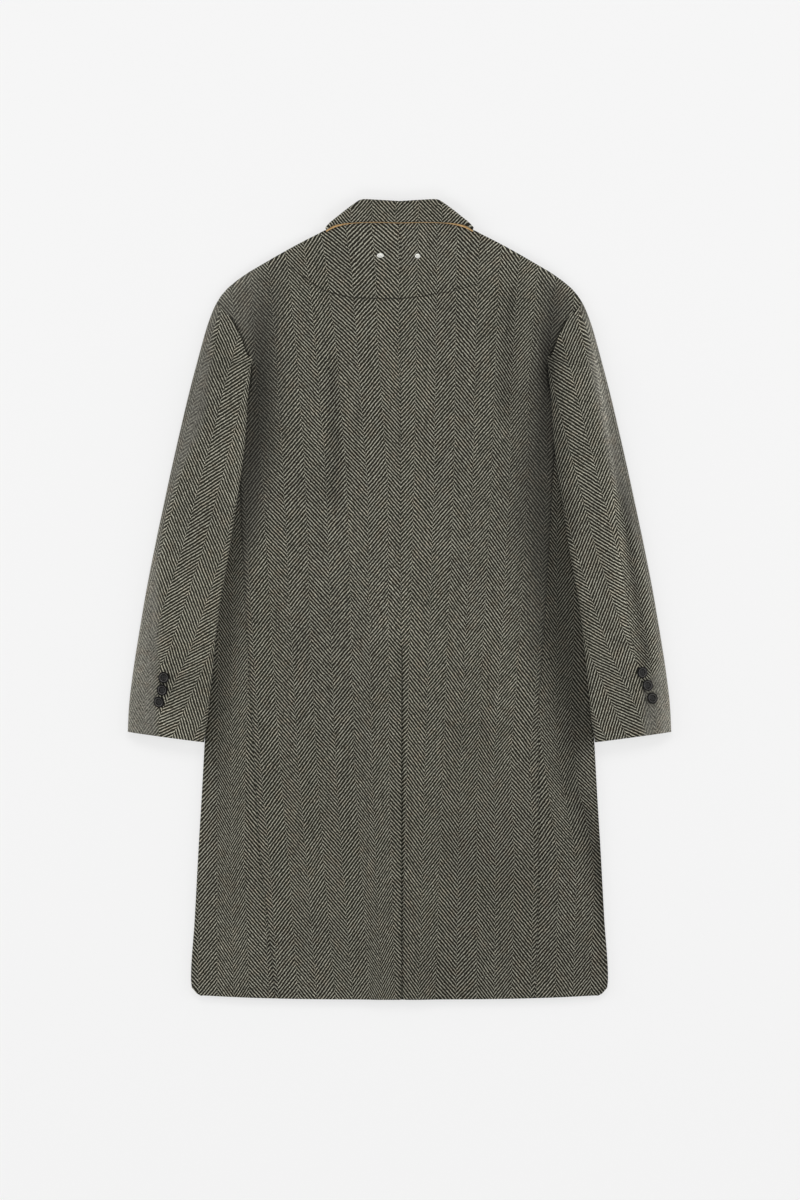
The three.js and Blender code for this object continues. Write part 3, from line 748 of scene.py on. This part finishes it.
# Collar
COLLAR_TOP = {"y": [0, 0.28, 0.48, 0.53, 0.58, 0.68, 0.8, 0.92, 1.0],
              "x": [0, 30, 51, 57, 63, 75, 88, 98.5, 106.4],
              "h": [575.6, 577.4, 578.4, 577.2, 573.6, 565.0, 554.6, 546.0, 537.4]}
COLLAR_EDGE = {"y": [0, 0.3, 0.6, 0.8, 0.92, 1.0],
               "x": [0, 36, 72, 92, 101.5, 106.0],
               "h": [544.5, 545.4, 544.0, 541.0, 537.0, 534.4]}
FELT = 1.2


def collar_point(part):
    """Top and edge of the fall at a share of the collar's half length, below 0 on the left."""
    sign = -1 if part < 0 else 1
    return [np.array([sign * read(table, "x", abs(part)), read(table, "h", abs(part))])
            for table in (COLLAR_TOP, COLLAR_EDGE)]


def collar_column(x):
    return float(np.interp(x, COLLAR_PEAKS, range(len(COLLAR_PEAKS))))


# Share of the collar's half length past which it has no stand, only its fall and roll
STAND_END = 0.55


def collar_piece():
    count, fall_count, roll_count, stand_count = 96, 14, 12, 6
    roll_z = BACK + 7.6
    edge_z = BACK + HALF + 1.6 + HALF
    cloth = Cloth()

    def put(inset, z, spot=None):
        spot = top + down * inset if spot is None else spot
        column = collar_column(spot[0])
        offset = abs(column - round(column))
        # Painted highlight along the collar's top towards its ends, and painted shade at the lower
        # edge of its fall
        pale = 1 + 0.22 * smooth((size - 0.5) / 0.15) * bump(inset, 0, 12)
        cloth.put((spot[0], spot[1], z),
                  (column, spot[1] / COLLAR_TWILL + 2 * COLLAR_LINES * offset),
                  (pale * (1 - 0.25 * bump(inset, length, 2.0)), 0.0))

    for i in range(count + 1):
        cloth.start_row(slice(fall_count + roll_count // 2, None),
                        abs(2 * (i + 0.5) / count - 1) >= STAND_END)
        part = 2 * i / count - 1
        size = abs(part)
        top, edge = collar_point(part)
        down = edge - top
        length = float(np.linalg.norm(down))
        down /= length
        radius = min(mix(3.7, 6.2, smooth((size - 0.5) / 0.12)), 0.62 * (length - HALF))
        for k in range(fall_count):
            share = k / fall_count
            put(mix(length, HALF + radius, share),
                mix(edge_z, roll_z, smooth(share * 0.85) / smooth(0.85)))
        for k in range(roll_count + 1):
            angle = math.pi * (0.5 - k / roll_count)
            put(HALF + radius * (1 - math.cos(angle)), roll_z - radius + radius * math.sin(angle))
        foot = np.array([top[0] * 1.06, 547 + SEAM])
        start = top + down * (HALF + radius)
        for k in range(1, stand_count + 1):
            share = k / stand_count
            put(0, mix(roll_z - 2 * radius, BACK, share), start + (foot - start) * share)
    return cloth_mesh("cloth_collar", cloth)


def undercollar_piece():
    count = 96
    z = BACK + HALF + SEAM + FELT / 2 + 0.5
    cloth = Cloth()
    for i in range(count + 1):
        cloth.start_row()
        part = 2 * i / count - 1
        _, edge = collar_point(part)
        proud = 0.9 + 2.3 * smooth((abs(part) - 0.5) / 0.4)
        depth = 11 * (1 - 0.9 * abs(part) ** 3)
        # Painted shade in the felt's middle under the collar's fall, and painted light towards its
        # ends
        shade = mix(0.75, 1.1, smooth((abs(part) - 0.45) / 0.4))
        for k in range(7):
            x, y = edge[0], edge[1] + mix(-proud, depth, k / 6)
            cloth.put((x, y, z), (x / 40, y / 40), (shade, 0.0))
    return cloth_mesh("felt_undercollar", cloth, thick=FELT)


# The collar's ends: their roll and their edge, from the neck to the tip
COLLAR_END = {"y": [0, 0.3, 0.65, 1.0], "rx": [60, 46, 26, 6], "ry": [577, 540, 500, 468],
              "ex": [100, 100, 88, 62], "ey": [538, 500, 442, 392]}


def collar_end_piece(name, side):
    cloth = Cloth()
    for i in range(25):
        cloth.start_row()
        rx, ry, ex, ey = (read(COLLAR_END, column, i / 24) for column in ("rx", "ry", "ex", "ey"))
        for k in range(11):
            x, y = side * mix(rx, ex, k / 10), mix(ry, ey, k / 10)
            cloth.put((x, y, FLOOR), (x / REPEAT, y / TWILL_PERIOD), (1.0, 0.0))
    return cloth_mesh(f"cloth_collar_end_{name}", cloth)


# Materials
class Nodes:
    """Short calls that add shader nodes to one material."""

    def __init__(self, name):
        self.material = bpy.data.materials.new(name)
        self.material.use_nodes = True
        self.tree = self.material.node_tree
        self.shader = self.tree.nodes["Principled BSDF"]

    def put(self, socket, value):
        if isinstance(value, bpy.types.NodeSocket):
            self.tree.links.new(value, socket)
        else:
            socket.default_value = value

    def node(self, kind, inputs=(), **settings):
        """Adds a node, its inputs given by name or in their order."""
        node = self.tree.nodes.new(f"ShaderNode{kind}")
        for key, value in settings.items():
            setattr(node, key, value)
        for key, value in inputs.items() if isinstance(inputs, dict) else enumerate(inputs):
            self.put(node.inputs[key], value)
        return node

    def math(self, operation, first, *others):
        """A value, or a chain of values, through one operation."""
        chain = [(value,) for value in others] or [()]
        for rest in chain:
            first = self.node("Math", (first, *rest), operation=operation).outputs[0]
        return first

    def noise(self, vector, scale, detail=2.0, roughness=0.5):
        return self.node("TexNoise", {"Vector": vector, "Scale": scale, "Detail": detail,
                                      "Roughness": roughness}).outputs["Fac"]

    def spread(self, value, low, high, to_low=0.0, to_high=1.0, soft=False):
        return self.node("MapRange", (value, low, high, to_low, to_high),
                         interpolation_type="SMOOTHSTEP" if soft else "LINEAR").outputs[0]

    def colour(self, factor, first, second, blend="MIX"):
        return self.node("Mix", {"Factor": factor, "A": first, "B": second},
                         data_type="RGBA", blend_type=blend).outputs["Result"]

    def dimmed(self, colour, value):
        """A colour times a single value."""
        grey = self.node("CombineXYZ", (value, value, value)).outputs[0]
        return self.colour(1.0, colour, grey, "MULTIPLY")

    def jitter(self, vector, scale, detail, amount):
        return self.spread(self.noise(vector, scale, detail), 0, 1, -amount / 2, amount / 2)

    def attribute(self, name):
        return self.node("Attribute", attribute_name=name).outputs["Fac"]

    def place(self):
        return self.node("TexCoord").outputs["Object"]

    def split(self, vector):
        return self.node("SeparateXYZ", (vector,)).outputs[:2]

    def looks(self, **values):
        for name, value in values.items():
            self.put(self.shader.inputs[name.replace("_", " ")], value)

    def relief(self, height, strength, distance):
        self.looks(Normal=self.node("Bump", {"Strength": strength, "Distance": distance,
                                             "Height": height}).outputs[0])


# Linear colours
LIGHT_YARN = (0.374, 0.363, 0.294, 1)
DARK_YARN = (0.0185, 0.0178, 0.0125, 1)
HAZE_TONE = (0.142, 0.137, 0.120, 1)
SEWN_TONE = (0.010, 0.0095, 0.0065, 1)
WARMER = (1.04, 0.99, 0.96, 1)
SHEEN_TONE = (0.8, 0.79, 0.75, 1)
FELT_TONES = (0.46, 0.26, 0.095, 1), (0.70, 0.45, 0.20, 1)
HORN_TONES = (0.004, 0.004, 0.004, 1), (0.012, 0.0115, 0.011, 1)
# Painted highlight ring on the buttons' faces
PAINTED_RING_HIGHLIGHT = (0.105, 0.101, 0.096, 1)
THREAD_TONES = (0.006, 0.006, 0.006, 1), (0.020, 0.019, 0.018, 1)
SILVER_TONES = (0.72, 0.72, 0.67, 1), (0.86, 0.86, 0.81, 1)
GREY = (0.32, 0.32, 0.32, 1)
WHITE = (1, 1, 1, 1)


def twill(made, place):
    """Light and dark lines that turn round at whole and half numbers of the column."""
    column, along = made.split(made.node("UVMap", uv_map="cloth").outputs[0])
    column = made.math("ADD", column, made.jitter(place, 38, 3, 0.06))
    nearest = made.math("ROUND", column)
    offset = made.math("ABSOLUTE", made.math("SUBTRACT", column, nearest))
    flip = made.math("GREATER_THAN", made.math("FRACT", column), 0.5)
    phase = made.math("ADD", along, made.math("MULTIPLY", offset, 2 * TWILL_LINES),
                      made.math("MULTIPLY", flip, 0.5), made.jitter(place, 190, 2, 0.34))
    wave = made.math("SINE", made.math("MULTIPLY", phase, 2 * math.pi))
    fleck = made.spread(made.noise(place, 430, 3, 0.65), 0.35, 0.65, -0.30, 0.30)
    return made.spread(made.math("ADD", wave, fleck), 0.35, 0.90, soft=True)


def sewn_line(made, place):
    """The stitched line, fading out towards both ends."""
    away = made.math("ABSOLUTE", made.math("SUBTRACT", made.attribute("line"), LINE_ZERO))
    across_back = made.split(place)[0]
    return made.math("MULTIPLY", made.spread(away, 1.3, 0.5, soft=True),
                     made.spread(made.noise(place, 240, 2), 0.3, 0.6, 0.75, 1.0),
                     made.spread(across_back, -0.176, -0.15, 0.0, 0.85),
                     made.spread(across_back, 0.03, 0.17, 1.0, 0.0))


def wool():
    made = Nodes("herringbone_wool")
    place = made.place()
    stripe = twill(made, place)
    yarn = made.spread(made.noise(place, 420, 2, 0.6), 0.32, 0.68, 0.66, 1.36)
    yarns = made.colour(stripe, DARK_YARN, made.dimmed(LIGHT_YARN, yarn))
    nap = made.spread(made.noise(place, 460, 3, 0.7), 0.34, 0.66, 0.15, 1.85)
    blurred = made.colour(made.attribute("haze"), yarns, made.dimmed(HAZE_TONE, nap))
    patch = made.spread(made.noise(place, 9, 3), 0.3, 0.7, 0.92, 1.08)
    # The shade attribute multiplies the colour with painted light and shade
    final = made.dimmed(blurred, made.math("MULTIPLY", patch, made.attribute("shade")))
    warm = made.spread(made.noise(place, 60, 3), 0.5, 0.68)
    final = made.colour(warm, final, made.colour(1.0, final, WARMER, "MULTIPLY"))
    final = made.colour(sewn_line(made, place), final, SEWN_TONE)
    made.looks(Base_Color=final, Roughness=0.95, Sheen_Weight=0.03, Sheen_Roughness=0.5,
               Sheen_Tint=SHEEN_TONE, Specular_IOR_Level=0.15)
    fine = made.math("MULTIPLY", made.noise(place, 900, 2, 0.6), 0.7)
    made.relief(made.math("ADD", made.math("MULTIPLY", stripe, 0.6), fine), 0.5, 0.0005)
    return made.material


def felt():
    made = Nodes("undercollar_felt")
    fine = made.noise(made.place(), 600, 3)
    tone = made.colour(made.spread(fine, 0.35, 0.65), *FELT_TONES)
    # The shade attribute darkens the felt's middle with painted shade and lightens its ends
    made.looks(Base_Color=made.dimmed(tone, made.attribute("shade")), Roughness=0.95,
               Sheen_Weight=0.3, Sheen_Roughness=0.6, Specular_IOR_Level=0.2)
    made.relief(fine, 0.5, 0.0004)
    return made.material


def horn():
    made = Nodes("dark_button")
    place = made.place()
    vein = made.noise(place, 210, 4, 0.6)
    tone = made.colour(made.spread(vein, 0.4, 0.7), *HORN_TONES)
    # Painted highlight ring where the ring attribute marks the face
    tone = made.colour(made.attribute("ring"), tone, PAINTED_RING_HIGHLIGHT)
    gloss = made.spread(made.noise(place, 500, 2), 0.3, 0.7, 0.16, 0.26)
    made.looks(Base_Color=tone, Roughness=gloss, Specular_IOR_Level=0.09)
    made.relief(vein, 0.1, 0.0002)
    return made.material


def thread():
    made = Nodes("button_thread")
    fine = made.noise(made.place(), 1400, 2)
    tone = made.colour(made.spread(fine, 0.3, 0.7), *THREAD_TONES)
    made.looks(Base_Color=tone, Roughness=0.8)
    made.relief(fine, 0.4, 0.0002)
    return made.material


def silver():
    made = Nodes("silver_metal")
    fine = made.noise(made.place(), 700, 2)
    tone = made.colour(made.spread(fine, 0.3, 0.7), *SILVER_TONES)
    rough = made.spread(fine, 0.3, 0.7, 0.22, 0.38)
    made.looks(Base_Color=tone, Metallic=0.3, Roughness=rough)
    made.relief(fine, 0.08, 0.0001)
    return made.material


# Hard pieces
def turned_mesh(name, profile, sides):
    """Round piece about Z from a profile of radius and height."""
    verts, faces, rings = [], [], []
    for radius, height in profile:
        count = sides if radius else 1
        rings.append([len(verts) + k for k in range(count)])
        for k in range(count):
            angle = 2 * math.pi * k / sides
            verts.append((radius * math.cos(angle), radius * math.sin(angle), height))
    for low, high in zip(rings, rings[1:]):
        for k in range(sides):
            ring = [(low, k), (low, k + 1), (high, k + 1), (high, k)]
            faces.append(tuple(dict.fromkeys(row[n % len(row)] for row, n in ring)))
    return add_piece(name, verts, faces)


def stitch_mesh(start, end, width, height, material):
    """One small thread that lies in an arc from a place to another."""
    start, end = np.array(start, float), np.array(end, float)
    way = end - start
    along = way / np.linalg.norm(way)
    side = np.cross(along, (0, 0, 1))
    side /= np.linalg.norm(side)
    up = np.cross(side, along)
    steps, sides = 6, 6
    verts, faces = [], []
    for i in range(steps + 1):
        lift = math.sin(math.pi * i / steps)
        centre = start + way * (i / steps) + up * (height * lift - 0.1)
        size = width / 2 * (0.55 + 0.45 * lift)
        for k in range(sides):
            angle = 2 * math.pi * k / sides
            verts.append(centre + side * size * math.cos(angle) + up * size * math.sin(angle))
    for i in range(0, steps * sides, sides):
        for k in range(sides):
            n = (k + 1) % sides
            faces.append((i + k, i + n, i + sides + n, i + sides + k))
    faces.append(tuple(range(sides))[::-1])
    faces.append(tuple(steps * sides + k for k in range(sides)))
    piece = add_piece("stitch", verts, faces)
    piece.data.materials.append(material)
    return piece


def settle(piece, location, tilt=(0.0, 0.0, 0.0)):
    """Moves a piece's mesh to a place; the object stays at the origin."""
    move = Matrix.Translation(Vector(location) * MM)
    piece.data.transform(move @ Euler(tilt).to_matrix().to_4x4())
    piece.data.update()


def join(name, parts):
    for part in bpy.context.scene.objects:
        part.select_set(False)
    for part in parts:
        part.select_set(True)
    bpy.context.view_layer.objects.active = parts[0]
    bpy.ops.object.join()
    parts[0].name = name
    return parts[0]


# Shares of a button's radius and thickness, and of a rivet's, from the back up to the middle
BUTTON_PROFILE = [(0, 0), (0.62, 0), (0.86, 0.16), (0.98, 0.42), (1, 0.6), (0.97, 0.82),
                  (0.9, 0.96), (0.82, 1), (0.74, 0.97), (0.67, 0.88), (0.6, 0.74), (0.53, 0.66),
                  (0.4, 0.62), (0.2, 0.61), (0, 0.61)]
BUTTON_FACE = 0.62
# Place and width of the painted highlight ring, as shares of the radius
HIGHLIGHT_RING_AT, HIGHLIGHT_RING_WIDE = 0.68, 0.05
HOLE_SIZE, HOLE_PLACE = 0.19, 0.21
HOLE_PROFILE = [(0, 0.02), (0.8, 0.03), (1, 0.1), (1.25, 0.02), (0, -0.3)]
RIVET_PROFILE = [(0, 0), (0.92, 0), (1.0, 0.25), (0.97, 0.6), (0.86, 0.88), (0.6, 1.0),
                 (0.3, 1.04), (0, 1.05)]
RIVET_THICK = 2.0


def button_piece(name, radius, thick, location, tilt, materials):
    """Four-hole button with a raised rim, and its crossed thread."""
    body = turned_mesh(name, [(radius * r, thick * h) for r, h in BUTTON_PROFILE], 48)
    body.data.materials.append(materials["horn"])
    # The ring attribute marks the painted highlight ring on the top face
    ring = body.data.attributes.new("ring", "FLOAT", "POINT")
    for k, vertex in enumerate(body.data.vertices):
        out, high = math.hypot(vertex.co.x, vertex.co.y) / MM, vertex.co.z / MM
        ring.data[k].value = bump(out / radius, HIGHLIGHT_RING_AT, HIGHLIGHT_RING_WIDE) if high > thick * 0.55 else 0.0
    parts = [body]
    hole, face, away = radius * HOLE_SIZE, thick * BUTTON_FACE, radius * HOLE_PLACE
    for x in (-away, away):
        for y in (-away, away):
            part = turned_mesh("hole", [(hole * r, face + h) for r, h in HOLE_PROFILE], 16)
            settle(part, (x, y, 0))
            part.data.materials.append(materials["thread"])
            parts.append(part)
    for y in (-away, away):
        parts.append(stitch_mesh((-away, y, face), (away, y, face), 0.38, 0.55,
                                 materials["thread"]))
    piece = join(name, parts)
    settle(piece, location, tilt)
    return piece


def rivet_piece(name, location, width, depth, material):
    piece = turned_mesh(name, [(r, h * RIVET_THICK) for r, h in RIVET_PROFILE], 40)
    for vertex in piece.data.vertices:
        vertex.co.x *= width / 2
        vertex.co.y *= depth / 2
    piece.data.materials.append(material)
    settle(piece, location)
    return piece


# Scene, in metres
FLOOR_LEVEL = -0.0006
FLOOR_XS = (-6.0, -0.26, 0.26, 6.0)
FLOOR_YS = (-6.0, -0.15, 0.42, 6.0)
LIGHTS = [
    {"name": "head", "place": (0, 2.3, 2.4), "size": (2.4, 1.2), "power": 34},
    {"name": "foot", "place": (0, -2.3, 2.4), "size": (2.4, 1.2), "power": 26},
    {"name": "left", "place": (-2.7, 0.2, 1.0), "size": (1.0, 2.6), "power": 34},
    {"name": "right", "place": (2.7, 0.2, 1.0), "size": (1.0, 2.6), "power": 34},
]
AMBIENT = 0.36
PHOTO_SCALE = 1.45
PHOTO_HIGH = 1200
CAMERA_PLACE = (0.0007, -0.0009, 3.5)
SENSOR = 36.0


def stage():
    """A pale ground that glows a little, so that shadows on it stay faint; its middle cell lies
    wholly under the coat and is dull, so that no light shows between the cloths."""
    mesh = bpy.data.meshes.new("floor")
    cells = [r * 4 + c for r in range(3) for c in range(3)]
    mesh.from_pydata([(x, y, FLOOR_LEVEL) for y in FLOOR_YS for x in FLOOR_XS], [],
                     [(k, k + 1, k + 5, k + 4) for k in cells])
    for name, glow in (("floor", 0.60), ("floor_under_coat", 0.0)):
        ground = Nodes(name)
        ground.looks(Base_Color=GREY, Roughness=0.9, Specular_IOR_Level=0.0,
                     Emission_Color=WHITE, Emission_Strength=glow)
        mesh.materials.append(ground.material)
    mesh.polygons[4].material_index = 1
    link(bpy.data.objects.new("floor", mesh))


def lights():
    for row in LIGHTS:
        data = bpy.data.lights.new(row["name"], "AREA")
        data.shape = "RECTANGLE"
        data.size, data.size_y = row["size"]
        data.energy = row["power"]
        lamp = link(bpy.data.objects.new(row["name"], data))
        lamp.location = row["place"]
        lamp.rotation_mode = "QUATERNION"
        lamp.rotation_quaternion = (-Vector(row["place"])).to_track_quat("-Z", "Y")
    world = bpy.data.worlds.new("studio")
    world.use_nodes = True
    background = world.node_tree.nodes["Background"]
    background.inputs["Color"].default_value = WHITE
    background.inputs["Strength"].default_value = AMBIENT
    bpy.context.scene.world = world
    bpy.context.scene.view_settings.view_transform = "Standard"
    bpy.context.scene.view_settings.look = "None"


def camera():
    """Straight above the coat, with the photo's whole height in view at the floor."""
    data = bpy.data.cameras.new("camera")
    data.sensor_width = SENSOR
    data.lens = SENSOR * CAMERA_PLACE[2] / (PHOTO_HIGH * PHOTO_SCALE * MM)
    eye = link(bpy.data.objects.new("camera", data))
    eye.location = CAMERA_PLACE
    bpy.context.scene.camera = eye


# Small pieces: their places, and the sizes of the two kinds of button
CUFF_BUTTON = {"radius": 8.3, "thick": 3.2}
FRONT_BUTTON = {"radius": 10.0, "thick": 2.4}
CUFF_BUTTONS = {
    "left": [(339, -112.5), (341.3, -130.4), (346, -147.4)],
    "right": [(349, -105.3), (357, -124.2), (364, -142.9)],
}
BUTTON_LIFT, BUTTON_TILT, BUTTON_TWIST = 0.8, 0.18, 0.3
RIVETS = [
    {"x": -27.7, "y": 496.6, "width": 10.2, "depth": 7.0},
    {"x": 26.2, "y": 495.8, "width": 8.0, "depth": 7.0},
]
TACKS = {"xs": (3, 8.4, 13.8, 19.2, 24.6), "y": 535.6, "long": 4.4, "climb": 0.2}


def ride(piece, slot, *nodes):
    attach(piece, "root")
    if nodes:
        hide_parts(*nodes)


def cloths():
    wool_look, felt_look = wool(), felt()

    def finish(piece, flat, area, rests, node, look=wool_look, slot="herringbone_wool"):
        piece.data.materials.append(look)
        ride(piece, slot, node)

    for name, side in SIDES.items():
        finish(front_piece(name, side), (0.44, 1.13), 0.40, ["floor"], f"front_{name}")
    for name, side in SIDES.items():
        body = [f"cloth_front_{name}"]
        finish(back_piece(name, side), (0.30, 1.14), 0.25, body, f"back_{name}")
        for kind, width, area in (("top", 0.15, 0.056), ("under", 0.16, 0.077)):
            sleeve = sleeve_piece(kind, name, side)
            finish(sleeve, (width, 0.64), area, body, f"{kind}_sleeve_{name}")
        end = collar_end_piece(name, side)
        finish(end, (0.06, 0.19), 0.0095, ["floor"], f"collar_end_{name}")
    finish(collar_piece(), (0.22, 0.08), 0.0128, ["cloth_back_left"], "collar")
    finish(undercollar_piece(), (0.22, 0.014), 0.0022, ["cloth_back_left"], "undercollar",
           felt_look, "undercollar_felt")


def small_pieces():
    materials, metal = {"horn": horn(), "thread": thread()}, silver()
    for name, spots in CUFF_BUTTONS.items():
        side = SIDES[name]
        for k, (x, y) in enumerate(spots, 1):
            place = sleeve_place(y, name)
            low, z, high = (top_height(place, x + step, y) for step in (-5, 0, 5))
            tilt = (0, -side * (math.atan2(high - low, 10) - BUTTON_TILT), BUTTON_TWIST * (k - 1))
            piece = button_piece(f"button_cuff_{name}_{k}", **CUFF_BUTTON, tilt=tilt,
                                 location=(side * x, y, z + HALF + BUTTON_LIFT),
                                 materials=materials)
            ride(piece, "dark_button", f"cuff_button_{name}_{k}")
    for k, y in enumerate(FRONT_BUTTONS, 1):
        piece = button_piece(f"button_front_{k}", **FRONT_BUTTON, location=(0, y, 2.6),
                             tilt=(math.pi, 0, 0), materials=materials)
        ride(piece, "dark_button", f"front_button_{k}")
    y, z = TACKS["y"], BACK + HALF
    tacks = [stitch_mesh((x, y, z), (x + TACKS["long"], y + TACKS["climb"], z), 1.1, 0.8,
                         materials["thread"]) for x in TACKS["xs"]]
    ride(join("tack_stitches", tacks), "herringbone_wool")
    for k, row in enumerate(RIVETS, 1):
        x, y = row["x"], row["y"]
        z = back_height(abs(x), y, LEFT if x < 0 else RIGHT) + HALF - 0.2
        piece = rivet_piece(f"rivet_head_{k}", (x, y, z), row["width"], row["depth"], metal)
        ride(piece, "silver_metal", f"rivet_{k}")


camera()
stage()
lights()
cloths()
small_pieces()
